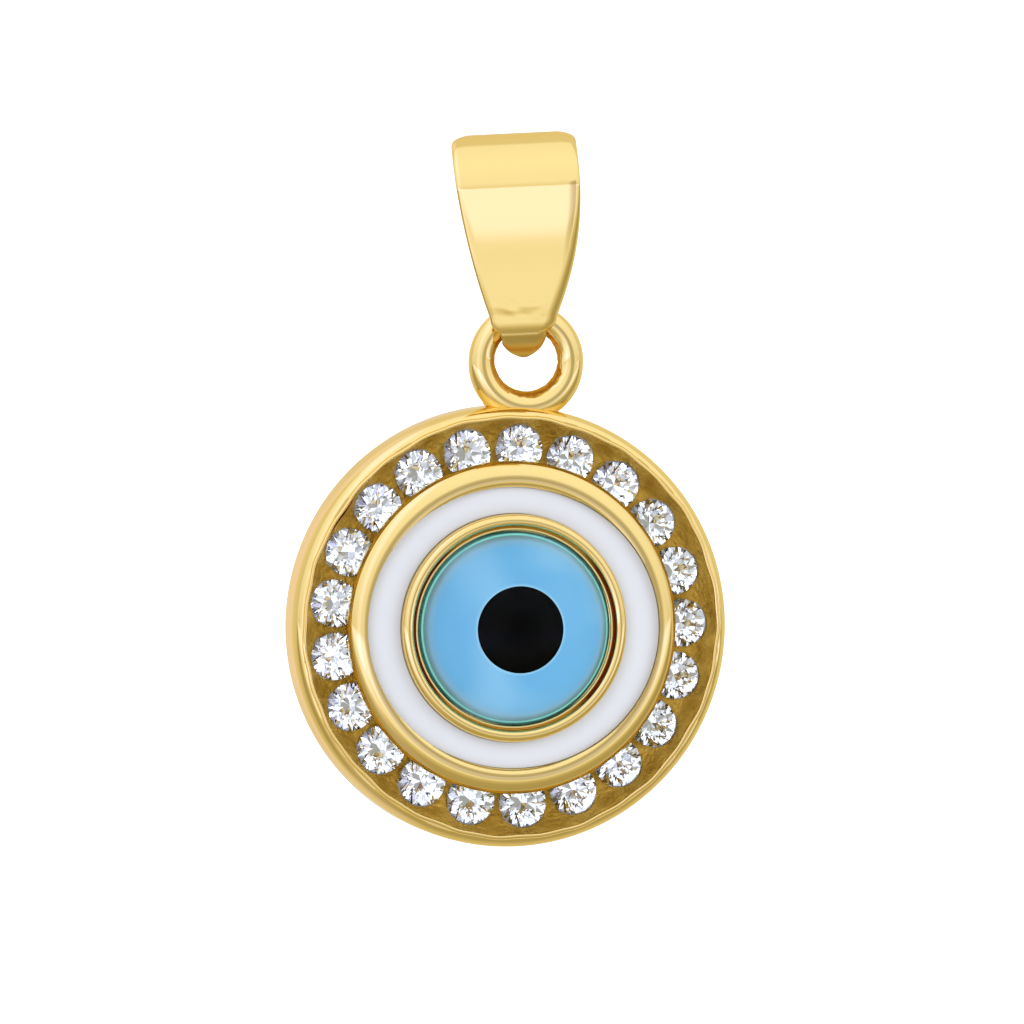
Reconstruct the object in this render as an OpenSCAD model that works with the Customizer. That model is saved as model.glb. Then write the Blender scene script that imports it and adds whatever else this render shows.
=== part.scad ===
// Evil eye pendant: a round gold drop with a channel of small stones, white enamel and a glass eye,
// hanging from a tapered bail. Millimetres. +Z is up, the front faces -Y, and the origin is the middle of the
// bail's inner top, where the chain runs. Heights of the drop are measured forward from the back of its rim.

/* [Bail] */
// Width of the bail across its top
bail_w = 3.9; // [3.2:0.1:5]
// Width of the bail where it reaches the hanging ring's wire
bail_waist_w = 2.15; // [1.9:0.05:2.6]
// Depth of the bail, front to back, across its top bend
bail_depth = 3.7; // [3.2:0.1:5]
// Distance from the top of the bail to the middle of its lower bend
bail_h = 5.74; // [5:0.1:8]
// Thickness of the gold at the top of the bail
bail_top_t = 0.7; // [0.5:0.05:0.9]
// Thickness of the gold in the lower bend
bail_bend_t = 0.42; // [0.36:0.02:0.5]
// Radius of the front outline's top corners
bail_corner_r = 0.38; // [0.2:0.02:0.6]
// How far the rounded shoulder comes in from the side at the top of the front face
bail_shoulder = 0.19; // [0.1:0.01:0.3]
// Distance from the top of the bail down to where its front outline is widest
bail_wide_drop = 0.84; // [0.6:0.02:1.2]
// Height over the top of the bail at which the round blank that shapes its shoulders is widest
blank_rise = 0.26; // [0.2:0.02:0.4]
// Radius of that blank level with the lower bend, as a part of the bend's outer radius
blank_low_part = 0.98; // [0.96:0.01:1.02]
// Radius of the rounded tongue under the ring's wire
bail_tongue_r = 0.72; // [0.6:0.02:0.76]
// Lean of the bail to the left, in degrees
bail_lean = 2.8; // [0:0.2:5]
// Turn of the bail to the left about the upright, in degrees
bail_turn = 11; // [0:1:12]

/* [Hanging ring] */
// Thickness of the ring's wire
wire_d = 0.78; // [0.7:0.02:0.84]
// Diameter of the hole in the ring
ring_hole_d = 2.0; // [2:0.05:2.4]
// Free space between the ring's wire and the bail's lower bend, under the wire
bend_play = 0.47; // [0.46:0.01:0.6]
// Largest swing of the drop to the front and to the back, in degrees
swing = 35; // [20:5:35]
// Free space that the swinging ring leaves round the bail's lower bend
swing_gap = 0.06; // [0.04:0.01:0.1]
// How far the ring is sunk into the rim
ring_sink = 0.38; // [0.2:0.02:0.5]
// Height of the ring's plane over the back of the rim
ring_plane_h = 1.1; // [0.8:0.05:1.3]
// Width of the solder where it spreads on the rim
solder_w = 2.3; // [1.8:0.1:2.6]
// Height of the solder over the rim
solder_h = 0.42; // [0.36:0.02:0.46]
// How far the solder reaches into the rim
solder_sink = 0.25; // [0.1:0.05:0.4]
// Width of the solder's flat edge on the rim, on each side
solder_edge = 0.12; // [0.05:0.01:0.15]
// Depth of the solder, front to back, as a part of the wire's thickness
solder_part = 0.8; // [0.6:0.05:0.9]

/* [Rim and back] */
// Diameter of the disc
disc_d = 13.8; // [13.6:0.1:16]
// Depth of the rim, front to back
rim_depth = 2.0; // [1.9:0.05:2.4]
// Width of the rim's gold between its outer wall and the channel
rim_w = 0.51; // [0.4:0.01:0.6]
// Radius of the rim's rounded front
rim_front_r = 0.45; // [0.3:0.01:0.5]
// Radius of the rim's rounded back edge
rim_back_r = 0.3; // [0.15:0.01:0.4]
// Depth of the shallow recess in the back
back_recess = 0.35; // [0.2:0.05:0.4]
// Lean of the drop, its foot to the left, in degrees
drop_lean = 3.7; // [0:0.1:6]

/* [Channel and stones] */
// Height of the channel floor over the back of the rim
floor_h = 1.05; // [0.95:0.05:1.1]
// Number of stones
stone_count = 21; // [12:1:21]
// Diameter of a stone
stone_d = 1.5; // [1.2:0.05:1.55]
// Free space between the stones and the inner wall of the rim
stone_side = 0.09; // [0.07:0.01:0.12]
// Height of the stones' girdle over the back of the rim
girdle_h = 1.16; // [1.1:0.01:1.2]
// Thickness of a stone's girdle
girdle_t = 0.045; // [0.03:0.005:0.06]
// Height of a stone's crown over its girdle
crown_h = 0.22; // [0.15:0.01:0.24]
// Depth of a stone's pavilion under its girdle
pavilion_h = 0.63; // [0.5:0.01:0.65]
// Diameter of a stone's flat table
table_d = 0.84; // [0.7:0.02:0.95]

/* [Inner ring and enamel] */
// How far the polished inner ring reaches over the stones
bead_over = 0.47; // [0.45:0.01:0.5]
// Thickness of the inner ring's round bead
bead_d = 0.92; // [0.88:0.02:0.96]
// Height of the middle of the bead over the back of the rim
bead_h = 1.87; // [1.85:0.01:2]
// Width of the inner ring's gold to the left and right of the enamel
enamel_side = 0.62; // [0.57:0.01:0.7]
// Width of the inner ring's gold over and under the enamel
enamel_end = 0.87; // [0.82:0.01:0.92]
// Width of the enamel over and under the collar
enamel_band = 0.84; // [0.75:0.01:0.95]
// Thickness of the enamel
enamel_t = 0.4; // [0.25:0.05:0.5]
// Height of the enamel's face over the back of the rim
enamel_face_h = 2.08; // [2:0.01:2.15]

/* [Collar and glass eye] */
// Width of the collar's gold
collar_w = 0.5; // [0.4:0.01:0.6]
// Height of the collar's crest over the back of the rim
collar_h = 2.5; // [2.4:0.02:2.6]
// Height of the dome's foot, where it leaves the collar, over the back of the rim
dome_foot_h = 2.38; // [2.3:0.02:2.42]
// Height of the dome's top over the back of the rim
dome_top_h = 3.8; // [3.7:0.05:4.2]
// Height of the glass's flat seat over the back of the rim
glass_seat_h = 1.52; // [1.4:0.02:1.6]
// Width of the clear glass round the iris
clear_w = 0.28; // [0.2:0.02:0.4]
// Thickness of the clear glass over the middle of the iris
clear_top = 0.33; // [0.25:0.01:0.45]
// How far the foot of the iris's dome lies under the foot of the clear dome
iris_foot_drop = 0.15; // [0.1:0.01:0.2]
// Diameter of the pupil
pupil_d = 2.62; // [2:0.02:3]
// Depth of the pupil's straight edge in the iris
pupil_edge = 0.17; // [0.1:0.01:0.3]

/* [Fits] */
// Gap between each set piece and the gold or glass that holds it
fit_gap = 0.03; // [0.02:0.005:0.04]

/* [Hidden] */
$fn = 96;
gold = [0.86, 0.71, 0.36];
// How far one gold shape reaches into the next, so that they join
join = 0.01;
// How far a shape that trims another one reaches past it
past = 0.2;

// Bail: the side view is two circles joined by their tangents, seen along X
bend_in_r = wire_d / 2 + bend_play;
bend_out_r = bend_in_r + bail_bend_t;
top_out_r = bail_depth / 2;
top_in_r = top_out_r - bail_top_t;
bail_ctr_h = bail_h - top_out_r;
seat_h = bail_ctr_h + top_in_r;
outline_wide_h = bail_h - bail_wide_drop;
blank_wide_h = bail_h + blank_rise;

// Hanging ring
ring_mid_r = (ring_hole_d + wire_d) / 2;
ring_out_r = ring_mid_r + wire_d / 2;
ring_to_disc = disc_d / 2 + ring_out_r - ring_sink;
ring_ctr = [(seat_h + ring_mid_r) * sin(bail_lean), 0, -(seat_h + ring_mid_r) * cos(bail_lean)];

// Drop
rim_in_r = disc_d / 2 - rim_w;
stone_circle_r = rim_in_r - stone_side - stone_d / 2;
inner_ring_r = stone_circle_r - stone_d / 2 + bead_over;
bead_mid_r = inner_ring_r - bead_d / 2;
boss_r = stone_circle_r - stone_d / 2 - fit_gap * 2;
collar_out_r = inner_ring_r - enamel_end - enamel_band;
collar_in_r = collar_out_r - collar_w;
glass_r = collar_in_r - fit_gap;
enamel_floor_h = enamel_face_h - enamel_t;

// Glass eye: each dome is a ball cut by the height of its foot
iris_r = glass_r - clear_w;
iris_top_h = dome_top_h - clear_top;
iris_foot_h = dome_foot_h - iris_foot_drop;
glass_ball_r = ball_r(glass_r, dome_top_h - dome_foot_h);
iris_ball_r = ball_r(iris_r, iris_top_h - iris_foot_h);
pupil_side_h = iris_top_h - iris_ball_r + sqrt(pow(iris_ball_r, 2) - pow(pupil_d / 2, 2));
pupil_floor_h = pupil_side_h - pupil_edge;

// The first stone is straight under the hanging ring, and the rest follow clockwise
stone_step = 360 / stone_count;
// Small tilts of the stones as they were set: each row is tilt to the right, tilt upwards, turn on its axis
stone_set = [
    [1, -2, 0], [3, -1, 20], [-1, -2, 8], [2, 1, 31], [-2, 2, 14], [1, -1, 38], [-3, 1, 5],
    [2, 2, 26], [-1, -2, 40], [3, -1, 11], [1, 2, 22], [-2, 3, 35], [2, -1, 3], [-1, 2, 17],
    [3, 1, 29], [-2, -2, 42], [1, 3, 9], [-3, 0, 24], [2, -3, 33], [-1, 1, 15], [3, 2, 6]];

stone_names = [for (i = [1:stone_count]) str("stone_", i < 10 ? "0" : "", i)];

// Radius of a ball whose cap has the given foot radius and rise
function ball_r(foot_r, rise) = (foot_r * foot_r + rise * rise) / (2 * rise);

// Sideways place of the middle of an arc through two points, when its middle has the height h0
function arc_mid(x1, h1, x2, h2, h0) =
    (x1 * x1 - x2 * x2 + pow(h1 - h0, 2) - pow(h2 - h0, 2)) / (2 * (x1 - x2));

// Two circles on one upright line, joined by the two lines that touch both
module teardrop(top_r, top_h, low_r) {
    down = (top_r - low_r) / top_h;
    out = sqrt(1 - down * down);
    translate([0, top_h]) circle(top_r);
    circle(low_r);
    polygon([
        [low_r * out, -low_r * down], [top_r * out, top_h - top_r * down],
        [-top_r * out, top_h - top_r * down], [-low_r * out, -low_r * down]]);
}

// A circle of which only the part on the right of the upright line and between two heights is left
module arc_slab(mid_x, mid_h, r, h1, h2) {
    intersection() {
        translate([mid_x, mid_h]) circle(r, $fn = 360);
        translate([0, h1]) square([2 * bail_w, h2 - h1]);
    }
}

// Right half of the bail's front outline: a bowed side, a rounded top corner and a round tongue
module bail_half_outline() {
    half = bail_w / 2;
    mid_x = arc_mid(half, outline_wide_h, bail_waist_w / 2, 0, outline_wide_h);
    arc_slab(mid_x, outline_wide_h, half - mid_x, 0, outline_wide_h);
    translate([0, outline_wide_h]) square([half, bail_h - outline_wide_h - bail_corner_r]);
    translate([0, outline_wide_h]) square([half - bail_corner_r, bail_h - outline_wide_h]);
    translate([half - bail_corner_r, bail_h - bail_corner_r]) circle(bail_corner_r);
    // Under the waist the side runs straight to the tongue
    tongue_h = bail_tongue_r - bend_out_r;
    polygon([[0, tongue_h], [bail_tongue_r, tongue_h], [bail_waist_w / 2, 0], [0, 0]]);
    intersection() {
        translate([0, tongue_h]) circle(bail_tongue_r);
        translate([0, -bend_out_r - past]) square([bail_w, bend_out_r + past]);
    }
}

// Turned blank that rounds the bail's shoulders, bowed like the front outline
module bail_blank() {
    top_r = sqrt(pow(bail_w / 2 - bail_shoulder, 2) + pow(top_out_r, 2));
    mid_x = arc_mid(top_r, bail_ctr_h, bend_out_r * blank_low_part, -bend_out_r / 4, blank_wide_h);
    r = norm([top_r - mid_x, bail_ctr_h - blank_wide_h]);
    rotate_extrude() arc_slab(mid_x, blank_wide_h, r, -bend_out_r - past, bail_h + past);
}

// The bail with the middle of its lower bend at the origin
module bail_shape() {
    intersection() {
        rotate([90, 0, 90]) linear_extrude(2 * bail_w, center = true) difference() {
            teardrop(top_out_r, bail_ctr_h, bend_out_r);
            teardrop(top_in_r, bail_ctr_h, bend_in_r);
        }
        rotate([90, 0, 0]) linear_extrude(2 * bail_depth, center = true) {
            bail_half_outline();
            mirror([1, 0]) bail_half_outline();
        }
        bail_blank();
    }
}

// Space that the ring takes as it swings on the middle of its top wire: what its hole doesn't leave free at
// any angle, and its round wire at both ends of the swing
module swing_space() {
    translate(ring_ctr) rotate([0, drop_lean, 0]) translate([0, 0, ring_mid_r]) {
        rotate([0, 90, 0]) rotate([0, 0, -swing]) rotate_extrude(angle = 2 * swing) difference() {
            translate([0, -ring_out_r]) square([ring_mid_r, 2 * ring_out_r]);
            translate([ring_mid_r, 0]) circle(ring_hole_d / 2 - swing_gap);
        }
        for (turn = [-swing, swing])
            rotate([90 + turn, 0, 0]) translate([0, -ring_mid_r, 0]) rotate_extrude()
                translate([ring_mid_r, 0]) circle(wire_d / 2 + swing_gap + join);
    }
}

module bail() {
    color(gold) difference() {
        rotate([0, -bail_lean, 0]) rotate([0, 0, -bail_turn]) translate([0, 0, -seat_h]) bail_shape();
        swing_space();
    }
}

// Places what is drawn with its middle on the disc's axis, Z forward and Y up, in the hanging drop
module on_disc() {
    translate(ring_ctr) rotate([0, drop_lean, 0])
        translate([0, ring_plane_h, -ring_to_disc]) rotate([90, 0, 0]) children();
}

// Section of the gold from the disc's axis outwards, X from the axis and Y forward from the back
module setting_section() {
    out_r = disc_d / 2;
    // Rim: a straight outer wall, a rounded front that ends in a crisp edge, and a rounded back edge
    intersection() {
        union() {
            translate([out_r - rim_front_r, rim_depth - rim_front_r]) circle(rim_front_r);
            translate([rim_in_r, rim_back_r]) square([rim_w, rim_depth - rim_front_r - rim_back_r]);
            translate([rim_in_r, floor_h / 2])
                square([rim_w - rim_front_r, rim_depth - floor_h / 2]);
        }
        translate([rim_in_r, 0]) square([rim_w, rim_depth]);
    }
    translate([out_r - rim_back_r, rim_back_r]) circle(rim_back_r);
    // Back plate, up to the channel's floor
    translate([0, back_recess]) square([out_r - rim_back_r, floor_h - back_recess]);
    // Boss that carries the inner ring, the enamel and the glass
    translate([0, floor_h - join]) square([boss_r, bead_h - floor_h + join]);
    translate([bead_mid_r, bead_h]) circle(bead_d / 2);
    // Collar
    translate([0, enamel_floor_h - join])
        square([collar_out_r, collar_h - collar_w / 2 - enamel_floor_h + join]);
    translate([collar_out_r - collar_w / 2, collar_h - collar_w / 2]) circle(collar_w / 2);
}

// Outline of the oval enamel: two round ends and the block between them, grown by a gap
module enamel_outline(grow) {
    shift = enamel_end - enamel_side;
    r = inner_ring_r - enamel_end + grow;
    for (side = [-1, 1]) translate([side * shift, 0]) circle(r);
    square([2 * shift, 2 * r], center = true);
}

// Moves what is drawn at the middle of a stone's girdle to stone i, with that stone's own tilt
module at_stone(i) {
    row = stone_set[i % len(stone_set)];
    rotate([0, 0, 90 - i * stone_step]) translate([stone_circle_r, 0, girdle_h])
        rotate([0, 0, i * stone_step - 90]) rotate([-row[1], row[0], row[2]]) children();
}

// Seat that is drilled for one stone: the pavilion's cone with a gap, and a straight bore over it
module seat() {
    slope = pavilion_h / (stone_d / 2);
    bore_r = stone_d / 2 + fit_gap;
    drop = fit_gap * sqrt(1 + slope * slope) - fit_gap * slope;
    rotate_extrude() polygon([
        [0, -bore_r * slope - drop], [bore_r, -drop], [bore_r, girdle_t + crown_h], [0, girdle_t + crown_h]]);
}

module hanging_ring() {
    translate([0, ring_to_disc, ring_plane_h]) rotate_extrude() translate([ring_mid_r, 0]) circle(wire_d / 2);
    // Solder: a foot that narrows to the ring in two hollow curves
    depth = wire_d * solder_part;
    hollow_r = (solder_w - ring_out_r) / 2;
    translate([0, 0, ring_plane_h - depth / 2]) linear_extrude(depth) difference() {
        translate([-solder_w / 2, disc_d / 2 - solder_sink]) square([solder_w, solder_h + solder_sink]);
        for (side = [-1, 1])
            translate([side * (solder_w / 2 + solder_edge), disc_d / 2 + solder_h]) circle(hollow_r);
    }
}

module setting() {
    color(gold) on_disc() difference() {
        union() {
            rotate_extrude() setting_section();
            hanging_ring();
        }
        translate([0, 0, enamel_floor_h]) linear_extrude(collar_h) difference() {
            enamel_outline(0);
            circle(collar_out_r);
        }
        translate([0, 0, glass_seat_h]) cylinder(r = collar_in_r, h = collar_h);
        for (i = [0:stone_count - 1]) at_stone(i) seat();
    }
}

module enamel_ring() {
    color([0.89, 0.89, 0.91]) on_disc()
        translate([0, 0, enamel_floor_h + fit_gap]) linear_extrude(enamel_t - fit_gap) difference() {
            enamel_outline(-fit_gap);
            circle(collar_out_r + fit_gap);
        }
}

// A disc with a domed front, from its flat foot to the dome's top
module dome(foot_r, base_h, top_h, round_r) {
    intersection() {
        translate([0, 0, base_h]) cylinder(r = foot_r, h = top_h - base_h);
        translate([0, 0, top_h - round_r]) sphere(round_r);
    }
}

module cabochon() {
    color([0.5, 0.75, 0.78, 0.5]) on_disc() difference() {
        dome(glass_r, glass_seat_h + fit_gap, dome_top_h, glass_ball_r);
        dome(iris_r + fit_gap, glass_seat_h, iris_top_h + fit_gap, iris_ball_r + fit_gap);
    }
}

module iris() {
    color([0.42, 0.7, 0.88]) on_disc() difference() {
        dome(iris_r, glass_seat_h + fit_gap, iris_top_h, iris_ball_r);
        translate([0, 0, pupil_floor_h]) cylinder(d = pupil_d, h = dome_top_h);
    }
}

module pupil() {
    color([0.02, 0.02, 0.03]) on_disc()
        dome(pupil_d / 2 - fit_gap, pupil_floor_h + fit_gap, iris_top_h, iris_ball_r);
}

// Ring of n points of a stone: radius, height, and the turn of the first point
function stone_points(n, r, h, turn) =
    [for (k = [0:n - 1]) [r * cos(turn + k * 360 / n), r * sin(turn + k * 360 / n), h]];

// Round brilliant: table, stars, kites and girdle facets over a thin girdle, kites and girdle facets under it
module brilliant() {
    r = stone_d / 2;
    table_r = table_d / 2;
    half_turn = 22.5;
    star_r = (r + table_r) / 2;
    star_h = girdle_t + crown_h * (r - star_r * cos(half_turn)) / (r - table_r);
    low_r = r * 0.3;
    low_h = -pavilion_h * (r - low_r * cos(half_turn)) / r;
    points = concat(
        stone_points(8, table_r, girdle_t + crown_h, 0),
        stone_points(8, star_r, star_h, half_turn),
        stone_points(16, r, girdle_t, 0),
        stone_points(16, r, 0, 0),
        stone_points(8, low_r, low_h, half_turn),
        [[0, 0, -pavilion_h]]);
    star = 8;
    upper = 16;
    lower = 32;
    low = 48;
    culet = 56;
    polyhedron(points, concat(
        [[for (k = [7:-1:0]) k]],
        [for (k = [0:7]) [k, (k + 1) % 8, star + k]],
        [for (k = [0:7]) [k, star + k, upper + 2 * k, star + (k + 7) % 8]],
        [for (k = [0:7]) [star + k, upper + 2 * k + 1, upper + 2 * k]],
        [for (k = [0:7]) [star + k, upper + (2 * k + 2) % 16, upper + 2 * k + 1]],
        [for (k = [0:15]) [upper + k, upper + (k + 1) % 16, lower + (k + 1) % 16, lower + k]],
        [for (k = [0:7]) [low + k, lower + 2 * k, lower + 2 * k + 1]],
        [for (k = [0:7]) [low + k, lower + 2 * k + 1, lower + (2 * k + 2) % 16]],
        [for (k = [0:7]) [culet, low + (k + 7) % 8, lower + 2 * k, low + k]]));
}

module stone(i) {
    color([0.93, 0.95, 0.98]) on_disc() at_stone(i) brilliant();
}

bail();
setting();
enamel_ring();
cabochon();
iris();
pupil();
for (i = [0:stone_count - 1])
    stone(i);
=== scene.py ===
# Evil eye pendant: a gold drop with a channel of small stones, white enamel and a glass eye, on a tapered bail.
# The file follows the pendant from the bail down: each section makes one piece, or one group of like pieces.
from math import asin, atan2, cos, degrees, hypot, pi, radians, sin, sqrt, tan

import bpy
from mathutils import Matrix, Vector


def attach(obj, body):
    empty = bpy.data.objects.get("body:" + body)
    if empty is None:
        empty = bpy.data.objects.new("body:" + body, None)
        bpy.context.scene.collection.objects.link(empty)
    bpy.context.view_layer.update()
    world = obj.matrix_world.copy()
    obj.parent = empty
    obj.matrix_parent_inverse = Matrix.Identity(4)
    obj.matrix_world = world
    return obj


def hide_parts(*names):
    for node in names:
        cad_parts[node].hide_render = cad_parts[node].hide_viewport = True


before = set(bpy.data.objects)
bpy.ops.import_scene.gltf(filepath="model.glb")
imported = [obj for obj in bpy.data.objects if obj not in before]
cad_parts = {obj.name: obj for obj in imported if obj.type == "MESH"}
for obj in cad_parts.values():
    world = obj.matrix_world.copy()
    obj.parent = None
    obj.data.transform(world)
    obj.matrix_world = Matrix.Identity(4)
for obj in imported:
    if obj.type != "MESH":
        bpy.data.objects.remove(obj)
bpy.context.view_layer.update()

# Bail: a cast 14 carat gold loop that tapers downwards, polished all over. Its band is thick at the top, where
# the chain runs, and thin in the lower bend, where the hanging ring's wire lies. The bend was closed round the
# ring and soldered, which left a fine line above the round tongue.
MM = 0.001


def linear(hex_code):
    """An sRGB hex colour as the linear colour that Blender's nodes take."""
    parts = [int(hex_code[i : i + 2], 16) / 255 for i in (1, 3, 5)]
    return tuple(c / 12.92 if c <= 0.04045 else ((c + 0.055) / 1.055) ** 2.4 for c in parts) + (1.0,)


def add_node(owner, kind, settings=None, links=None, **sockets):
    """Adds a node to a material or the world, with its settings, its sockets' values and its incoming links,
    which are given as {socket: (node, output)}."""
    node = owner.node_tree.nodes.new(kind)
    for name, value in (settings or {}).items():
        setattr(node, name, value)
    for name, value in sockets.items():
        node.inputs[name.replace("_", " ")].default_value = value
    for name, (source, output) in (links or {}).items():
        owner.node_tree.links.new(source.outputs[output], node.inputs[name])
    return node


def new_material(name, **sockets):
    """A material with one Principled shader, whose sockets take the given values."""
    mat = bpy.data.materials.new(name)
    mat.use_nodes = True
    shader = mat.node_tree.nodes["Principled BSDF"]
    for socket, value in sockets.items():
        shader.inputs[socket.replace("_", " ")].default_value = value
    return mat


def feed_shader(mat, socket, node, output):
    """Links a node's output to one socket of the material's shader."""
    shader = mat.node_tree.nodes["Principled BSDF"]
    mat.node_tree.links.new(node.outputs[output], shader.inputs[socket])


# Polished 14 carat yellow gold, tumbled and buffed: a mirror with the faint waviness that hand polishing leaves
polished_gold = new_material(
    "polished_14k_gold", Base_Color=linear("#F8DE96"), Metallic=1.0, Roughness=0.07,
    Specular_Tint=linear("#FAECCB"),
)
place = add_node(polished_gold, "ShaderNodeTexCoord")
# Buffing waves about 1.6 mm apart
waves = add_node(
    polished_gold, "ShaderNodeTexNoise", None, {"Vector": (place, "Object")}, Scale=1 / (1.6 * MM), Detail=1.0,
    Roughness=0.4,
)
relief = add_node(
    polished_gold, "ShaderNodeBump", None, {"Height": (waves, "Fac")}, Strength=0.25, Distance=0.004 * MM
)
feed_shader(polished_gold, "Normal", relief, "Normal")


def only(obj):
    """Makes obj the one selected and active object."""
    bpy.ops.object.select_all(action="DESELECT")
    obj.select_set(True)
    bpy.context.view_layer.objects.active = obj


def add_modifier(obj, kind, **settings):
    """Adds a modifier with its settings and applies it."""
    only(obj)
    mod = obj.modifiers.new(kind.lower(), kind)
    for name, value in settings.items():
        setattr(mod, name, value)
    bpy.ops.object.modifier_apply(modifier=mod.name)


def cut_away(obj, cutter):
    """Cuts the cutter's shape out of obj. Both have to be closed."""
    add_modifier(obj, "BOOLEAN", object=cutter, operation="DIFFERENCE", solver="MANIFOLD")
    bpy.data.objects.remove(cutter)


def clean(obj):
    """Merges doubles and turns all faces outwards."""
    only(obj)
    bpy.ops.object.mode_set(mode="EDIT")
    bpy.ops.mesh.select_all(action="SELECT")
    bpy.ops.mesh.remove_doubles(threshold=0.0005 * MM)
    bpy.ops.mesh.normals_make_consistent(inside=False)
    bpy.ops.object.mode_set(mode="OBJECT")


def set_in_pendant(obj, move, finish, body, node, angle=26, others=()):
    """Moves the finished mesh to its place, with the object itself at the origin, colours and smooths it, says
    which body it goes with and hides the CAD node that it stands for. others holds further finishes, each with
    a test that picks its faces before the move, by their middle in millimetres and their normal. Edges that
    turn by more than the angle, in degrees, stay sharp."""
    only(obj)
    bpy.ops.object.transform_apply(location=True, rotation=True, scale=True)
    obj.data.materials.clear()
    obj.data.materials.append(finish)
    finishes = [0] * len(obj.data.polygons)
    for number, (other, test) in enumerate(others, 1):
        obj.data.materials.append(other)
        for i, face in enumerate(obj.data.polygons):
            if test(face.center / MM, face.normal):
                finishes[i] = number
    obj.data.polygons.foreach_set("material_index", finishes)
    obj.matrix_world = move
    bpy.ops.object.transform_apply(location=True, rotation=True, scale=True)
    bpy.ops.object.shade_smooth_by_angle(angle=radians(angle))
    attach(obj, body)
    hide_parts(node)


# Sizes of the loop, with its heights over the middle of the lower bend
BAIL_HALF_W, WAIST_HALF_W, WIDE_H, TONGUE_R = 1.95 * MM, 1.04 * MM, 4.9 * MM, 0.72 * MM
BAIL_H, TOP_OUT_R, TOP_IN_R, BEND_OUT_R, BEND_IN_R = 5.74 * MM, 1.85 * MM, 1.15 * MM, 1.28 * MM, 0.86 * MM
TOP_CTR_H = BAIL_H - TOP_OUT_R
SEAT_H = TOP_CTR_H + TOP_IN_R
CORNER_R, SIDE_R = 0.36 * MM, 13.6 * MM
# Where the front plate ends over the tongue, and how far the tongue lies back from it
SEAM_H, SEAM_STEP = -0.47 * MM, 0.08 * MM
# Points along the top circle, a side and the lower circle
LOOP_STEPS = (64, 40, 96)


def bail_half_width(z):
    """Half the width of the bail's front outline at a height: bowed sides, rounded top corners, a round tongue
    below."""
    if z > BAIL_H - CORNER_R:
        rise = min(z - (BAIL_H - CORNER_R), CORNER_R)
        return BAIL_HALF_W - CORNER_R + sqrt(CORNER_R**2 - rise**2)
    if z > 0:
        return BAIL_HALF_W - SIDE_R + sqrt(SIDE_R**2 - min(z - WIDE_H, 0) ** 2)
    if z > SEAM_H:
        return TONGUE_R + (WAIST_HALF_W - TONGUE_R) * (1 - (z / SEAM_H) ** 2.2)
    # The tongue is a blunt round point
    tongue_h = TONGUE_R - BEND_OUT_R
    blunt = 1.7
    drop = min(max((tongue_h - z) / TONGUE_R, 0), 0.999)
    return TONGUE_R * (1 - drop**blunt) ** (1 / blunt)


def loop_points(top_r, low_r, bulge, seam):
    """Points round the side view of the loop: the top circle, the lower circle and, between them, the front
    and the back, which bulge a little from a straight line. The tongue lies back behind the seam, most at the
    seam itself."""
    top_steps, side_steps, low_steps = LOOP_STEPS
    tilt = asin((top_r - low_r) / TOP_CTR_H)
    # The front meets both circles in a slight edge
    kinks = (radians(17), radians(3)) if bulge else (0, 0)
    runs = []
    for cz, r, start, end, steps in (
        (TOP_CTR_H, top_r, -tilt, pi + tilt - kinks[0], top_steps),
        (0, low_r, pi + tilt + kinks[1], 2 * pi - tilt, low_steps),
    ):
        turns = [start + (end - start) * i / steps for i in range(steps + 1)]
        runs.append([Vector((0, r * cos(t), cz + r * sin(t))) for t in turns])
    top, low = runs
    for point in low:
        if point.z < SEAM_H and point.y < 0:
            near_seam = max(1 - (SEAM_H - point.z) / (0.09 * MM), 0)
            point *= 1 - seam * (1 + 0.5 * near_seam) / low_r
        elif point.z < 0 and point.y < 0:
            point *= 1 - 0.4 * seam * (point.z / SEAM_H) ** 2 / low_r
    sides = []
    for a, b in ((top[-1], low[0]), (low[-1], top[0])):
        out = Vector((0, 1 if a.y > 0 else -1, -tan(tilt))).normalized()
        rises = [(i / side_steps, bulge * sin(pi * i / side_steps)) for i in range(1, side_steps)]
        sides.append([a.lerp(b, part) + out * rise for part, rise in rises])
    return top + sides[0] + low + sides[1]


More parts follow.
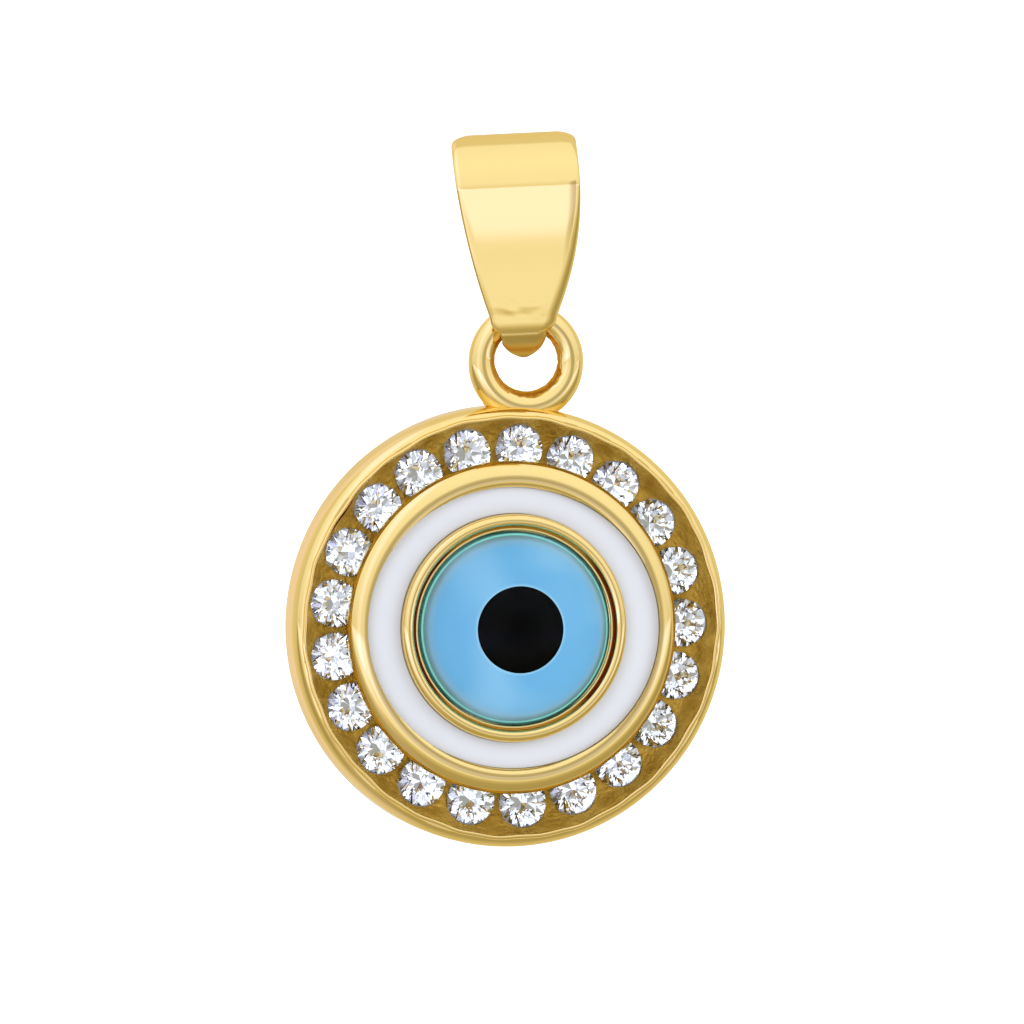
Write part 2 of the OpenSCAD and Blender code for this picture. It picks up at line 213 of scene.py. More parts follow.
def round_the_section(half_w, outer, inner):
    """Section of the band at one place of the loop: a flat outer face, rounded shoulders, side walls, a flat
    inner face. half_w gives the half width at a height."""
    wall = (inner - outer).length
    into = (inner - outer) / wall
    edge = 0.07 * MM
    # The shoulder starts with a crease, where the flat face was polished after the shoulder
    crease = radians(30)
    # Over this height the shoulders widen towards the top, and under it they change over this length
    plain_h, change = 4.7 * MM, 2.4 * MM
    top = min(max((outer.z - plain_h) / (BAIL_H - plain_h), 0), 1)
    lower = min(max((plain_h - outer.z) / change, 0), 1)
    # The right shoulder is the wider one, because the side was filed down more there
    sides = []
    for narrow, wide in ((0.12, 0.26), (0.1, 0.07)):
        sides.append(min((narrow + (wide - narrow) * lower + 0.13 * top**2) * MM, 0.4 * half_w(outer.z)))
    flat_steps, round_steps, wall_steps = 8, 7, 4
    halves = []
    for side, shoulder in zip((1, -1), sides):
        rows = []
        for i in range(flat_steps + 1):
            rows.append((i / flat_steps, shoulder, 0.0))
        for i in range(1, round_steps + 1):
            t = crease + (pi / 2 - crease) * i / round_steps
            back = shoulder * (1 - sin(t)) / (1 - sin(crease))
            rows.append((1.0, back, shoulder * (cos(crease) - cos(t)) / cos(crease)))
        for i in range(1, wall_steps):
            rows.append((1.0, 0.0, shoulder + (wall - shoulder - edge) * i / wall_steps))
        for i in range(wall_steps + 1):
            t = i / wall_steps * pi / 2
            rows.append((1.0, edge * (1 - cos(t)), wall - edge * (1 - sin(t))))
        for i in range(1, wall_steps + 1):
            rows.append((1 - i / wall_steps, edge, wall))
        half = []
        for across, back, depth in rows:
            at = outer + into * depth
            half.append(at + Vector((side * across * max(half_w(at.z) - back, 0.01 * MM), 0, 0)))
        halves.append(half)
    right, left = halves
    return right + left[-2:0:-1]


outer = loop_points(TOP_OUT_R, BEND_OUT_R, 0.07 * MM, SEAM_STEP)
inner = loop_points(TOP_IN_R, BEND_IN_R, 0, 0)
sections = [round_the_section(bail_half_width, o, i) for o, i in zip(outer, inner)]
# A torus has the loop's net of faces, and each of its points goes to its place on the loop
bpy.ops.object.select_all(action="DESELECT")
bpy.ops.mesh.primitive_torus_add(
    major_segments=len(sections), minor_segments=len(sections[0]), major_radius=2 * MM, minor_radius=MM
)
bail = bpy.context.object
bail.name = "bail_loop"
# Seen from the front, the loop bows a little to the right at half its height
BOW, BOW_TOP_H, BOW_LENGTH = 0.14 * MM, 5.4 * MM, 6.2 * MM
for i, point in enumerate(p for section in sections for p in section):
    bow = BOW * sin(pi * min(max((BOW_TOP_H - point.z) / BOW_LENGTH, 0), 1))
    bail.data.vertices[i].co = point + Vector((bow, 0, 0))
clean(bail)
# The bail leans to the left and is turned towards the left
BAIL_LEAN, BAIL_TURN = radians(-2.8), radians(-11)
bail_place = Matrix.Rotation(BAIL_LEAN, 4, "Y") @ Matrix.Rotation(BAIL_TURN, 4, "Z")
bail_place = bail_place @ Matrix.Translation((0, 0, -SEAT_H))
# The hanging ring's middle, its wire, how far it sits beside the drop's middle line, and how the drop leans
RING_CTR = Vector((0.3141, 0, -6.4223)) * MM
RING_MID_R, WIRE_R, RING_ASIDE, DROP_LEAN = 1.415 * MM, 0.405 * MM, 0.06 * MM, radians(3.7)
drop_place = Matrix.Translation(RING_CTR) @ Matrix.Rotation(DROP_LEAN, 4, "Y")
# The wire needs room in the bend at both ends of the drop's swing, which is given in degrees
SWING, WIRE_ROOM = 35, 0.08 * MM
for swing in (-SWING, SWING):
    bpy.ops.object.select_all(action="DESELECT")
    bpy.ops.mesh.primitive_torus_add(
        major_segments=96, minor_segments=32, major_radius=RING_MID_R, minor_radius=WIRE_R + WIRE_ROOM
    )
    room = bpy.context.object
    swung = drop_place @ Matrix.Translation((0, 0, RING_MID_R)) @ Matrix.Rotation(radians(90 + swing), 4, "X")
    room.data.transform(bail_place.inverted() @ swung @ Matrix.Translation((RING_ASIDE, -RING_MID_R, 0)))
    cut_away(bail, room)


def add_relief(obj, size, depth, test):
    """Pushes the vertices that pass the test in and out by a cloud pattern of the given grain and depth."""
    group = obj.vertex_groups.new(name="rough")
    group.add([v.index for v in obj.data.vertices if test(v.co / MM)], 1.0, "REPLACE")
    pattern = bpy.data.textures.new("relief", "CLOUDS")
    pattern.noise_scale = size
    add_modifier(
        obj, "DISPLACE", texture=pattern, strength=depth, mid_level=0.5, vertex_group="rough",
        texture_coords="LOCAL",
    )
    bpy.data.textures.remove(pattern)


# Ripples that closing the bend left over the seam
add_relief(bail, 0.3 * MM, 0.05 * MM, lambda at: 0.0 < at.z < 0.42 and at.y < -1.1 and abs(at.x) < 0.85)
# Satin gold, brushed and not buffed, with a darker colour that is painted shade on the tongue, since the ring
# hides most of it
satin_gold_painted_shade = new_material(
    "satin_14k_gold_painted_shade", Base_Color=linear("#E3C678"), Metallic=1.0, Roughness=0.36,
    Specular_Tint=linear("#F0D49A"),
)
place = add_node(satin_gold_painted_shade, "ShaderNodeTexCoord")
# Brush marks about 0.08 mm apart
marks = add_node(satin_gold_painted_shade, "ShaderNodeTexNoise", None, {"Vector": (place, "Object")}, Scale=1 / (0.08 * MM))
relief = add_node(
    satin_gold_painted_shade, "ShaderNodeBump", None, {"Height": (marks, "Fac")}, Strength=0.3, Distance=0.01 * MM
)
feed_shader(satin_gold_painted_shade, "Normal", relief, "Normal")
# The tongue's front faces take the satin gold with its painted shade
set_in_pendant(
    bail, bail_place, polished_gold, "bail", "bail",
    others=((satin_gold_painted_shade, lambda at, normal: at.z < SEAM_H / MM and normal.y < 0.5),),
)

# Body of the drop: a cast gold disc with a rounded rim, a channel round it and a low boss in the middle. The
# walls were turned smooth and polished; the channel's floor stayed matt, and a seat was drilled in it for every
# stone.

# The frame of the disc: X right, Y up, Z forward from the back of the rim. The ring stands above its middle
RING_UP, WIRE_H = 8.3 * MM, 1.1 * MM
disc_place = drop_place @ Matrix.Translation((0, WIRE_H, -RING_UP)) @ Matrix.Rotation(radians(90), 4, "X")
to_disc = disc_place.inverted()


def arc(cx, cy, r, start, end, steps):
    """Points on an arc about (cx, cy), from one angle to another in degrees."""
    turns = [radians(start + (end - start) * i / steps) for i in range(steps + 1)]
    return [(cx + r * cos(t), cy + r * sin(t)) for t in turns]


def draw_line(name, points):
    """A line of straight steps through the points, extruded one by one from a small plane merged to a point."""
    bpy.ops.object.select_all(action="DESELECT")
    bpy.ops.mesh.primitive_plane_add(size=MM, location=points[0])
    obj = bpy.context.object
    obj.name = name
    bpy.ops.object.mode_set(mode="EDIT")
    bpy.ops.mesh.merge(type="CENTER")
    for a, b in zip(points, points[1:]):
        bpy.ops.mesh.extrude_region_move(TRANSFORM_OT_translate={"value": Vector(b) - Vector(a)})
    bpy.ops.object.mode_set(mode="OBJECT")
    return obj


def turn_on_lathe(name, section, steps):
    """A turned piece: the section, of (radius, height) points in millimetres, spun round the disc's axis. It
    starts and ends on the axis, or ends where it starts, so that the piece is closed."""
    line = draw_line(name, [(r * MM, 0, h * MM) for r, h in section])
    only(line)
    bpy.ops.object.mode_set(mode="EDIT")
    bpy.ops.mesh.select_all(action="SELECT")
    bpy.ops.mesh.spin(steps=steps, angle=2 * pi, center=(0, 0, 0), axis=(0, 0, 1))
    bpy.ops.object.mode_set(mode="OBJECT")
    bpy.ops.object.transform_apply(location=True)
    clean(line)
    return line


DISC_STEPS = 252
# The back, the rim with a fine groove before its ridge, the channel and the boss
body_section = (
    [(0, 0.35), (3, 0.35), (6.1, 0.35)]
    + arc(6.6, 0.3, 0.3, 170, 360, 14)
    + [(6.89, 0.5), (6.9, 0.8), (6.9, 1.1), (6.895, 1.25)]
    + [(6.56 + 0.335 * cos(radians(5 * i)), 1.3 + 0.58 * sin(radians(5 * i))) for i in range(17)]
    + [(6.605, 1.868), (6.59, 1.856), (6.578, 1.87)]
    + arc(6.54, 1.86, 0.055, 40, 160, 7)
    + [(6.49, 1.82), (6.47, 1.79), (6.41, 1.68), (6.32, 1.48), (6.22, 1.31), (6.1, 1.18), (5.96, 1.1)]
    + [(5.8, 1.06), (5.6, 1.05), (5.4, 1.05), (4.9, 1.05), (4.74, 1.06), (4.74, 1.3), (4.74, 1.6)]
    + [(4.7, 1.68), (4.2, 1.68), (3.0, 1.68), (0, 1.68)]
)
body = turn_on_lathe("drop_body", body_section, DISC_STEPS)
# The rim's inner wall and the ridge over it were scraped by hand, and so they waver
for v in body.data.vertices:
    r = hypot(v.co.x, v.co.y) / MM
    if 6.05 < r < 6.62 and v.co.z > 1.07 * MM:
        turn = atan2(v.co.y, v.co.x)
        wave = 1 + (0.03 * sin(9 * turn) * sin(5 * turn + 1) + 0.015 * sin(31 * turn)) / r
        v.co = Vector((v.co.x * wave, v.co.y * wave, v.co.z))

# Stones, the radius of the circle that they stand on, and the height of their girdles
STONES, STONES_CTR_R, GIRDLE_H = 21, 5.55 * MM, 1.16 * MM
# The bur that opened each seat ran into the rim's inner wall and left a shallow scallop, wider for some stones.
# These are the scallops' radii in hundredths of a millimetre, clockwise from the top.
SCALLOP_R = (90, 94, 95, 99, 99, 98, 97, 96, 98, 99, 99, 99, 101, 101, 102, 101, 100, 95, 97, 90, 90)
bores = []
for i in range(STONES):
    turn = radians(90 - i * 360 / STONES)
    top = SCALLOP_R[i] / 100
    bore_section = [(0, -0.76), (0.78, -0.03), (0.78, 0.2), (top - 0.02, 0.5), (top, 0.66), (0, 0.66)]
    bore = turn_on_lathe("bore", bore_section, 48)
    bore.data.transform(
        Matrix.Translation((STONES_CTR_R * cos(turn), STONES_CTR_R * sin(turn), GIRDLE_H))
    )
    bores.append(bore)
# Neighbouring bores overlap, so every third one is cut at a time
for first in range(3):
    only(bores[first])
    for bore in bores[first::3]:
        bore.select_set(True)
    bpy.ops.object.join()
    cut_away(body, bpy.context.object)

# As cast and sandblasted 14 carat gold: the channel was never buffed, so it is a dull, deeper yellow
matt_gold = new_material(
    "matt_14k_gold", Base_Color=linear("#CBA244"), Metallic=0.55, Roughness=0.42,
    Specular_Tint=linear("#F0D49A"),
)
place = add_node(matt_gold, "ShaderNodeTexCoord")
# Blasting grain about 0.06 mm across, drawn three times as coarse so that it shows
grain = add_node(
    matt_gold, "ShaderNodeTexNoise", None, {"Vector": (place, "Object")}, Scale=1 / (0.18 * MM), Detail=4.0
)
relief = add_node(
    matt_gold, "ShaderNodeBump", None, {"Height": (grain, "Fac")}, Strength=1.0, Distance=0.09 * MM
)
feed_shader(matt_gold, "Normal", relief, "Normal")
# Cloudy darker and paler places about 0.7 mm across
clouds = add_node(
    matt_gold, "ShaderNodeTexNoise", None, {"Vector": (place, "Object")}, Scale=1 / (0.7 * MM), Detail=3.0
)
tones = add_node(matt_gold, "ShaderNodeValToRGB", None, {"Fac": (clouds, "Fac")})
tones.color_ramp.elements[0].position, tones.color_ramp.elements[1].position = 0.3, 0.7
tones.color_ramp.elements[0].color = linear("#A67F28")
tones.color_ramp.elements[1].color = linear("#CDA84A")
feed_shader(matt_gold, "Base Color", tones, "Color")

# Seats painted a pale near white: painted light under the stones, so that the stones over them look white and
# bright
seat_painted_bright = new_material("seat_painted_white", Base_Color=linear("#F4F5F7"), Metallic=0.2, Roughness=0.4)

# Painted shade in the hollows: a darker gold, red-brown where the painted shade is deepest
painted_hollow_shade = new_material(
    "painted_hollow_shade", Base_Color=linear("#8A5212"), Metallic=1.0, Roughness=0.3,
    Specular_Tint=linear("#C98A3A"),
)
place = add_node(painted_hollow_shade, "ShaderNodeTexCoord")
on_disc = add_node(
    painted_hollow_shade, "ShaderNodeMapping", None, {"Vector": (place, "Object")},
    Location=to_disc.to_translation(), Rotation=to_disc.to_euler(),
)
ways = add_node(painted_hollow_shade, "ShaderNodeSeparateXYZ", None, {"Vector": (on_disc, "Vector")})
aside = add_node(painted_hollow_shade, "ShaderNodeMath", {"operation": "ABSOLUTE"}, {0: (ways, "X")})
# The painted shade in the collar's hollow is deepest at its left and right
shade_to_sides = add_node(
    painted_hollow_shade, "ShaderNodeMapRange", None, {"Value": (aside, "Value")}, From_Min=1.9 * MM,
    From_Max=2.5 * MM,
)
tones = add_node(painted_hollow_shade, "ShaderNodeValToRGB", None, {"Fac": (shade_to_sides, "Result")})
tones.color_ramp.elements[0].color = linear("#D8AE50")
tones.color_ramp.elements[1].color = linear("#8F430E")
feed_shader(painted_hollow_shade, "Base Color", tones, "Color")


def in_crevice(at, normal):
    """Whether a face belongs to the deep shadowed gap at the upper left, between the rim and the channel."""
    return 6.3 < hypot(at.x, at.y) < 6.56 and 1.6 < at.z < 1.8 and 141 < degrees(atan2(at.y, at.x)) < 157


# The seats that this picks are painted near white as light under the stones
def in_seat(at, normal):
    """Whether a face belongs to the cone or the wall of a stone's seat."""
    return 4.6 < hypot(at.x, at.y) < 6.7 and 0.02 < at.z < 1.04 and normal.z > -0.2


def in_channel(at, normal):
    """Whether a face belongs to the channel's floor, its seats or the rim's inner wall."""
    return 4.73 < hypot(at.x, at.y) < 6.6 and 1.04 < at.z < 1.82 and normal.z > -0.2


# The shadowed gap at the upper left is painted dark: painted shade
set_in_pendant(
    body, disc_place, polished_gold, "drop", "setting",
    others=((matt_gold, in_channel), (seat_painted_bright, in_seat), (painted_hollow_shade, in_crevice)),
)

# Inner ring: the half-round gold bead between the stones and the enamel. It lies over the stones' inner edges
# and holds them, and its inner side is filed to the enamel's oval.

# Middle of the bead's section, its reach outwards and inwards and half its height, in millimetres
BEAD_R, BEAD_H, BEAD_OUT, BEAD_IN, BEAD_RISE = 4.66, 1.87, 0.55, 0.31, 0.46
# Outside it's half round. Inside it was filed flatter, down to the enamel
BEAD_STEP, FILED = 7.5, 0.7
ring_section = []
for t in (radians(BEAD_STEP * i - 90) for i in range(25)):
    ring_section.append((BEAD_R + BEAD_OUT * cos(t), BEAD_H + BEAD_RISE * sin(t)))
for t in (radians(BEAD_STEP * i) for i in range(13, 37)):
    rise = (BEAD_RISE if sin(t) > 0 else -BEAD_RISE) * abs(sin(t)) ** FILED
    ring_section.append((BEAD_R - BEAD_IN * abs(cos(t)) ** FILED, BEAD_H + rise))
inner_ring = turn_on_lathe("inner_ring", ring_section, DISC_STEPS)
# The enamel's oval: half its height and half its width
OVAL_HALF_H, OVAL_HALF_W = 4.4 * MM, 4.65 * MM
bpy.ops.object.select_all(action="DESELECT")
bpy.ops.mesh.primitive_cylinder_add(
    vertices=160, radius=OVAL_HALF_H, depth=2 * MM, location=(0, 0, 2.5 * MM)
)
oval = bpy.context.object
oval.scale = (OVAL_HALF_W / OVAL_HALF_H, 1, 1)
cut_away(inner_ring, oval)
# A flat place that a file slipped on, at the top of the ring
bpy.ops.object.select_all(action="DESELECT")
bpy.ops.mesh.primitive_cube_add(
    size=0.5 * MM, location=(-0.02 * MM, 5.29 * MM, 2.352 * MM), rotation=(radians(45), 0, 0), scale=(3, 1, 1)
)
cut_away(inner_ring, bpy.context.object)
set_in_pendant(inner_ring, disc_place, polished_gold, "drop", "setting")

# Collar: the thin raised wall of gold that is pressed over the glass eye. Its crest is rounded and polished,
# with a narrow lip against the glass and a hollow between them, where shade is painted into the gold.
collar_section = (
    [(3.56, 1.6), (3.56, 1.9), (3.56, 2.2)] + arc(3.36, 2.3, 0.2, 0, 150, 16)
    + [(3.175, 2.345), (3.165, 2.322), (3.15, 2.318)] + arc(3.1, 2.29, 0.05, 20, 150, 7)
    + [(3.05, 2.25), (3.05, 1.6), (3.56, 1.6)]
)
collar = turn_on_lathe("collar", collar_section, 200)
# The collar's hollow takes the painted shade
set_in_pendant(
    collar, disc_place, polished_gold, "drop", "setting",
    others=((painted_hollow_shade, lambda at, normal: 3.13 < hypot(at.x, at.y) < 3.225 and at.z > 2.2),),
)

# Hanging ring: a cast ring of round wire at the top of the rim, joined to it with solder. Its inside was never
# polished and stayed rough.
bpy.ops.object.select_all(action="DESELECT")
bpy.ops.mesh.primitive_torus_add(
    major_segments=128, minor_segments=48, major_radius=RING_MID_R, minor_radius=WIRE_R,
    location=(RING_ASIDE, RING_UP, WIRE_H),
)
ring = bpy.context.object
ring.name = "hanging_ring"
# The wire is thicker towards its foot
THICKER = 0.17
for v in ring.data.vertices:
    middle = Vector((v.co.x, v.co.y, 0)).normalized() * RING_MID_R
    v.co = middle + (v.co - middle) * (1 + THICKER * max(-middle.y / RING_MID_R, 0))
# What lies nearer to the ring's middle than this, in millimetres, is its rough inside
ROUGH_R = 1.13
add_relief(ring, 0.16 * MM, 0.05 * MM, lambda at: hypot(at.x, at.y) < ROUGH_R)
# Rough gold as it came from the mould, with a darker, more orange colour painted in as shade inside the ring
cast_gold_painted_shade = new_material(
    "as_cast_gold", Base_Color=linear("#D7A24A"), Metallic=1.0, Roughness=0.34, Specular_Tint=linear("#F0CF90")
)
place = add_node(cast_gold_painted_shade, "ShaderNodeTexCoord")
# Pits about 0.1 mm across
pits = add_node(
    cast_gold_painted_shade, "ShaderNodeTexNoise", None, {"Vector": (place, "Object")}, Scale=1 / (0.1 * MM), Detail=2.0
)
relief = add_node(
    cast_gold_painted_shade, "ShaderNodeBump", None, {"Height": (pits, "Fac")}, Strength=0.7, Distance=0.03 * MM
)
feed_shader(cast_gold_painted_shade, "Normal", relief, "Normal")
# The ring's rough inside takes the cast gold with its painted shade
set_in_pendant(
    ring, disc_place, polished_gold, "drop", "setting",
    others=((cast_gold_painted_shade, lambda at, normal: hypot(at.x, at.y - RING_UP / MM) < ROUGH_R),),
)
# Solder that ran out under the ring
bpy.ops.object.select_all(action="DESELECT")
bpy.ops.mesh.primitive_cube_add(size=MM, location=Vector((0.05, 6.93, 1.02)) * MM, scale=(3.0, 0.56, 0.85))
solder = bpy.context.object
solder.name = "ring_solder"
bpy.ops.object.transform_apply(location=True, rotation=True, scale=True)
add_modifier(solder, "SUBSURF", levels=5, render_levels=5)
add_relief(solder, 0.3 * MM, 0.06 * MM, lambda at: True)
set_in_pendant(solder, disc_place, polished_gold, "drop", "setting")

# White enamel: a band of hard glassy enamel, melted between the inner ring and the collar, and ground and
# polished nearly flush. Its outer edge is an oval, a little wider than it is tall.


def pick_vertices(obj, test):
    """Goes into edit mode with just the vertices selected that pass the test."""
    bpy.ops.object.mode_set(mode="EDIT")
    bpy.ops.mesh.select_mode(type="VERT")
    bpy.ops.mesh.select_all(action="DESELECT")
    bpy.ops.object.mode_set(mode="OBJECT")
    for v in obj.data.vertices:
        v.select = test(v)
    bpy.ops.object.mode_set(mode="EDIT")


# Fired enamel, polished: an even cool white with a soft gloss
white_enamel = new_material("white_enamel", Base_Color=linear("#BBBEC4"), Roughness=0.16, IOR=1.5)
enamel_section = [
    (3.565, 1.7), (4.395, 1.7), (4.396, 2.06), (4.385, 2.078), (4.35, 2.085), (3.65, 2.085), (3.59, 2.08),
    (3.565, 2.06), (3.565, 1.7),
]
enamel = turn_on_lathe("enamel", enamel_section, 160)
pick_vertices(enamel, lambda v: hypot(v.co.x, v.co.y) > 4 * MM)
bpy.ops.transform.resize(value=(OVAL_HALF_W / OVAL_HALF_H, 1, 1), center_override=(0, 0, 0))
bpy.ops.object.mode_set(mode="OBJECT")
set_in_pendant(enamel, disc_place, white_enamel, "drop", "enamel_ring")

# Glass eye: a moulded and polished dome of clear, faintly blue-green glass over a light blue one, with a drop
# of black glass in the middle. The collar holds it at its foot.


def dome_line(foot_r, foot_h, top_h, steps):
    """Points of a dome's section, from its foot to its top."""
    rise = top_h - foot_h
    ball = (foot_r * foot_r + rise * rise) / (2 * rise)
    turns = [asin(foot_r / ball) * (1 - i / steps) for i in range(steps + 1)]
    return [(ball * sin(t), top_h - ball + ball * cos(t)) for t in turns]


# Clear glass, moulded and polished: colourless, with a thin line at its foot. Its IOR is lower than real
# glass has, which keeps that line as thin as it is on the real dome
clear_glass = new_material(
    "clear_glass", Base_Color=linear("#F4FCFB"), Roughness=0.0, IOR=1.17, Transmission_Weight=1.0
)
# Opaque light blue glass: an even blue with soft paler sectors
blue_glass = new_material("light_blue_glass", Base_Color=linear("#74BEEE"), Roughness=0.45)
place = add_node(blue_glass, "ShaderNodeTexCoord")
on_disc = add_node(
    blue_glass, "ShaderNodeMapping", None, {"Vector": (place, "Object")},
    Location=to_disc.to_translation(), Rotation=to_disc.to_euler(),
)
flat = add_node(blue_glass, "ShaderNodeVectorMath", {"operation": "MULTIPLY"}, {0: (on_disc, "Vector")})
flat.inputs[1].default_value = (1, 1, 0)
from_middle = add_node(blue_glass, "ShaderNodeVectorMath", {"operation": "LENGTH"}, {0: (flat, "Vector")})
outwards = add_node(
    blue_glass, "ShaderNodeMapRange", None, {"Value": (from_middle, "Value")}, From_Max=3 * MM
)
rings = add_node(blue_glass, "ShaderNodeValToRGB", None, {"Fac": (outwards, "Result")})
# Pale halo where the black drop melted in, the even blue, then a greyish band that is painted shade along the
# collar, and the green edge where the glass is thin
bands = (
    (0.0, "#86BCDC"), (0.45, "#86BCDC"), (0.475, "#549BC8"), (0.84, "#5AA0CC"), (0.9, "#74A3BF"),
    (0.932, "#6C8C94"), (0.95, "#5C8A8C"), (0.957, "#8CE4DA"), (0.968, "#8CE4DA"), (0.976, "#3F746E"),
    (1.0, "#3F746E"),
)
rings.color_ramp.elements.remove(rings.color_ramp.elements[1])
rings.color_ramp.elements[0].position, rings.color_ramp.elements[0].color = bands[0][0], linear(bands[0][1])
for where, hex_code in bands[1:]:
    rings.color_ramp.elements.new(where).color = linear(hex_code)
# Soft paler sectors about 2 mm wide
pale_sectors = add_node(
    blue_glass, "ShaderNodeTexNoise", None, {"Vector": (place, "Object")}, Scale=1 / (2 * MM), Detail=0.0
)
paler = add_node(
    blue_glass, "ShaderNodeMapRange", None, {"Value": (pale_sectors, "Fac")}, From_Min=0.5, From_Max=0.75,
    To_Max=0.35,
)
mixed = add_node(
    blue_glass, "ShaderNodeMix", {"data_type": "RGBA"}, {0: (paler, "Result"), 6: (rings, "Color")}
)
mixed.inputs[7].default_value = linear("#94C2DE")
feed_shader(blue_glass, "Base Color", mixed, 2)
# Black glass under the clear dome: a plain deep black with no gloss of its own
black_glass = new_material(
    "black_glass", Base_Color=linear("#010102"), Roughness=0.6, Specular_IOR_Level=0.0
)
dome = turn_on_lathe("glass_dome", [(0, 1.55), (3.03, 1.55)] + dome_line(3.03, 2.38, 3.8, 32), 128)
iris = turn_on_lathe("glass_iris", [(0, 1.6), (2.98, 1.6)] + dome_line(2.98, 2.12, 3.47, 32), 128)
pupil = turn_on_lathe("glass_pupil", [(0, 3.0), (1.34, 3.0)] + dome_line(1.34, 3.248, 3.49, 16), 96)
for piece, finish, node, slot in (
    (dome, clear_glass, "cabochon", "clear_glass"),
    (iris, blue_glass, "iris", "blue_glass"),
    (pupil, black_glass, "pupil", "black_glass"),
):
    set_in_pendant(piece, disc_place, finish, "drop", node, 30)

# Stones: round brilliant-cut clear zirconia, cut and polished, each set in its own seat at its own slight tilt.
# The inner ring lies over their inner edges and holds them.

# Cubic zirconia, cut and polished: clear and very faintly blue, with sharp bright facets
zirconia = new_material(
    "clear_zirconia", Base_Color=linear("#E1E9F5"), Roughness=0.0, IOR=2.17, Transmission_Weight=1.0
)
# The pavilion is cut deeper than in the solid, so that light comes back from it
PAVILION, DEEP_PAVILION = 0.63 * MM, 0.7 * MM
for i in range(STONES):
    node = "stone_%02d" % (i + 1)
    only(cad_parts[node])
    bpy.ops.object.duplicate()
    stone = bpy.context.object
    stone.name = "cut_" + node
    bpy.ops.object.transform_apply(location=True, rotation=True, scale=True)
    # The normals that the solid brings along would turn wrong where its points are merged
    bpy.ops.mesh.customdata_custom_splitnormals_clear()
    clean(stone)
    up = max(stone.data.polygons, key=lambda face: face.area).normal.copy()
    girdle = min(v.co.dot(up) for v in stone.data.vertices) + PAVILION
    for v in stone.data.vertices:
        depth = girdle - v.co.dot(up)
        if depth > 0:
            v.co -= up * depth * (DEEP_PAVILION / PAVILION - 1)
    set_in_pendant(stone, Matrix(), zirconia, "drop", node, angle=1)

# Floor, light and camera: a sheet of plain pale paper that bends up behind the pendant, soft light from large
# panels and a light tent, and the photograph's angle.

# Smooth matt white paper, lit through a little, so that it stays white in the shade
floor_finish = new_material(
    "white_paper", Base_Color=linear("#F7F7F7"), Roughness=0.7, Emission_Color=linear("#FFFFFF"),
    Emission_Strength=0.35,
)
# One sheet: the floor, a wide bend and the wall behind
sweep = [(-0.7, -0.06)] + arc(0.5, 0.14, 0.2, -90, 0, 24) + [(0.7, 1.6)]
SHEET_HALF_W = 1.2
floor = draw_line("floor", [(-SHEET_HALF_W, y, z) for y, z in sweep])
bpy.ops.object.mode_set(mode="EDIT")
bpy.ops.mesh.select_all(action="SELECT")
bpy.ops.mesh.extrude_region_move(TRANSFORM_OT_translate={"value": (2 * SHEET_HALF_W, 0, 0)})
bpy.ops.mesh.normals_make_consistent(inside=False)
bpy.ops.object.mode_set(mode="OBJECT")
bpy.ops.object.transform_apply(location=True)
bpy.ops.object.shade_smooth_by_angle(angle=radians(40))
floor.data.materials.append(floor_finish)
# The gold mirrors the soft tent, and not the paper
floor.visible_glossy = False

world = bpy.data.worlds.new("studio")
world.use_nodes = True
# Where the camera stands, seen from the pendant
AZIMUTH, ELEVATION = radians(-11), radians(2.5)
facing = add_node(world, "ShaderNodeTexCoord")
turned = add_node(
    world, "ShaderNodeVectorRotate", {"rotation_type": "Z_AXIS"}, {"Vector": (facing, "Generated")},
    Angle=-AZIMUTH,
)
ways = add_node(world, "ShaderNodeSeparateXYZ", None, {"Vector": (turned, "Vector")})
ahead = add_node(world, "ShaderNodeMath", {"operation": "MULTIPLY"}, {0: (ways, "Y")})
ahead.inputs[1].default_value = -1
# Round from straight down (0) through the front (0.25) and the top (0.5) to the back (0.75)
round_about = add_node(
    world, "ShaderNodeMath", {"operation": "ARCTAN2"}, {0: (ahead, "Value"), 1: (ways, "Z")}
)
part = add_node(
    world, "ShaderNodeMapRange", None, {"Value": (round_about, "Value")}, From_Min=pi, From_Max=-pi
)
panels = add_node(world, "ShaderNodeValToRGB", None, {"Fac": (part, "Result")})


def set_stops(ramp, stops, warmth=1):
    """Gives a colour ramp its stops: (place, brightness). Dim parts are a little warmer, and panels cooler."""
    ramp = ramp.color_ramp
    while len(ramp.elements) > 1:
        ramp.elements.remove(ramp.elements[-1])
    ramp.elements[0].position = stops[0][0]
    for where, grey in stops:
        stop = ramp.elements[0] if where == stops[0][0] else ramp.elements.new(where)
        warm = warmth * min(max((0.9 - grey) / 0.35, 0), 1)
        cool = 0.35 * min(max((grey - 1) / 0.05, 0), 1)
        stop.color = (grey, grey * (1 - 0.12 * warm), grey * (1 - 0.48 * warm + cool), 1)


def way(rise):
    """Place on the ramp of a direction, in degrees over the horizon in front."""
    return (rise + 90) / 360


# Soft light tent, from the table in front over the top to the back
set_stops(panels, [
    (0.0, 0.38), (way(-48), 0.42), (way(-30), 0.62), (way(-22), 0.9), (way(-15.6), 0.85), (way(-14.6), 1.08),
    (way(-5.4), 1.08), (way(-4.4), 0.8), (way(20), 0.9), (way(60), 0.95), (way(106), 0.9), (way(112), 0.72),
    (way(150), 0.74), (way(200), 0.72), (1.0, 0.45),
])
# The same tent from its left side to its right
sideways = add_node(world, "ShaderNodeMapRange", None, {"Value": (ways, "X")}, From_Min=-1)
side_fall = add_node(world, "ShaderNodeValToRGB", None, {"Fac": (sideways, "Result")})
set_stops(side_fall, [
    (0.0, 0.86), (0.08, 0.95), (0.17, 1.0), (0.21, 1.14), (0.33, 1.14), (0.38, 1.0), (0.85, 1.0),
    (0.93, 0.95), (1.0, 0.86),
])
tent = add_node(
    world, "ShaderNodeMix", {"data_type": "RGBA", "blend_type": "MULTIPLY"},
    {6: (panels, "Color"), 7: (side_fall, "Color")},
)
tent.inputs[0].default_value = 1
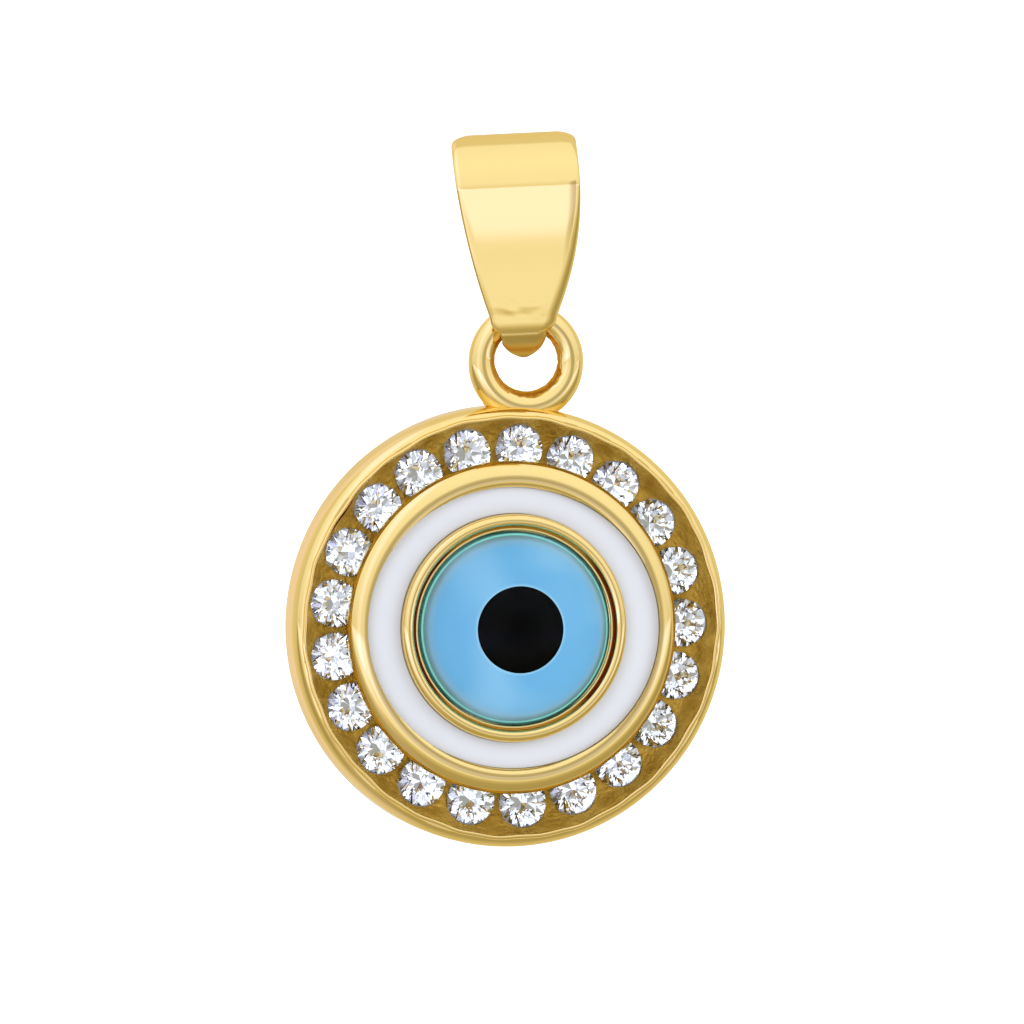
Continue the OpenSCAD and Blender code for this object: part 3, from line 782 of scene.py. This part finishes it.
# The dark gap between the two front panels, which what faces straight ahead mirrors: how far it lies to the
# right, where it starts and where it is darkest
GAP_TURN, GAP_EDGE, GAP_CORE = radians(22), radians(22), radians(9)
toward_gap = add_node(world, "ShaderNodeVectorMath", {"operation": "DOT_PRODUCT"}, {0: (turned, "Vector")})
toward_gap.inputs[1].default_value = (sin(GAP_TURN), -cos(GAP_TURN), -0.04)
gap_part = add_node(
    world, "ShaderNodeMapRange", None, {"Value": (toward_gap, "Value")}, From_Min=cos(GAP_EDGE),
    From_Max=cos(GAP_CORE),
)
gap = add_node(world, "ShaderNodeValToRGB", None, {"Fac": (gap_part, "Result")})
set_stops(gap, [(0.0, 1.0), (1.0, 0.56)], 0.25)
tent_with_gap = add_node(
    world, "ShaderNodeMix", {"data_type": "RGBA", "blend_type": "MULTIPLY"}, {6: (tent, 2), 7: (gap, "Color")}
)
tent_with_gap.inputs[0].default_value = 1
background = world.node_tree.nodes["Background"]
world.node_tree.links.new(tent_with_gap.outputs[2], background.inputs["Color"])
background.inputs["Strength"].default_value = 1.15
bpy.context.scene.world = world


def add_panel(name, place, watts):
    """A large soft light, aimed at the middle of the pendant."""
    light = bpy.data.lights.new(name, "AREA")
    light.shape = "RECTANGLE"
    light.size = light.size_y = 0.4
    light.energy = watts
    obj = bpy.data.objects.new(name, light)
    bpy.context.collection.objects.link(obj)
    obj.location = place
    aim = Vector((0, 0, -11 * MM)) - Vector(place)
    obj.rotation_euler = aim.to_track_quat("-Z", "Y").to_euler()
    obj.visible_glossy = obj.visible_camera = False


add_panel("soft_key", (-0.3, -0.4, 0.35), 1.1)
add_panel("soft_fill", (0.4, -0.35, 0.15), 1.3)

# The camera looks at the middle of the pendant. The view's width is at the pendant, the sensor's in mm
LOOK_AT = Vector((-0.05, 0.1, -11.14)) * MM
DISTANCE, VIEW_W, SENSOR_W = 0.38, 32 * MM, 36
camera_data = bpy.data.cameras.new("camera")
camera_data.sensor_width = SENSOR_W
camera_data.lens = SENSOR_W * DISTANCE / VIEW_W
camera_data.clip_start, camera_data.clip_end = 0.01, 10
camera = bpy.data.objects.new("camera", camera_data)
bpy.context.collection.objects.link(camera)
back = Vector((sin(AZIMUTH) * cos(ELEVATION), -cos(AZIMUTH) * cos(ELEVATION), sin(ELEVATION)))
camera.location = LOOK_AT + back * DISTANCE
camera.rotation_euler = (-back).to_track_quat("-Z", "Y").to_euler()
bpy.context.scene.camera = camera
bpy.context.scene.view_settings.view_transform = "Standard"
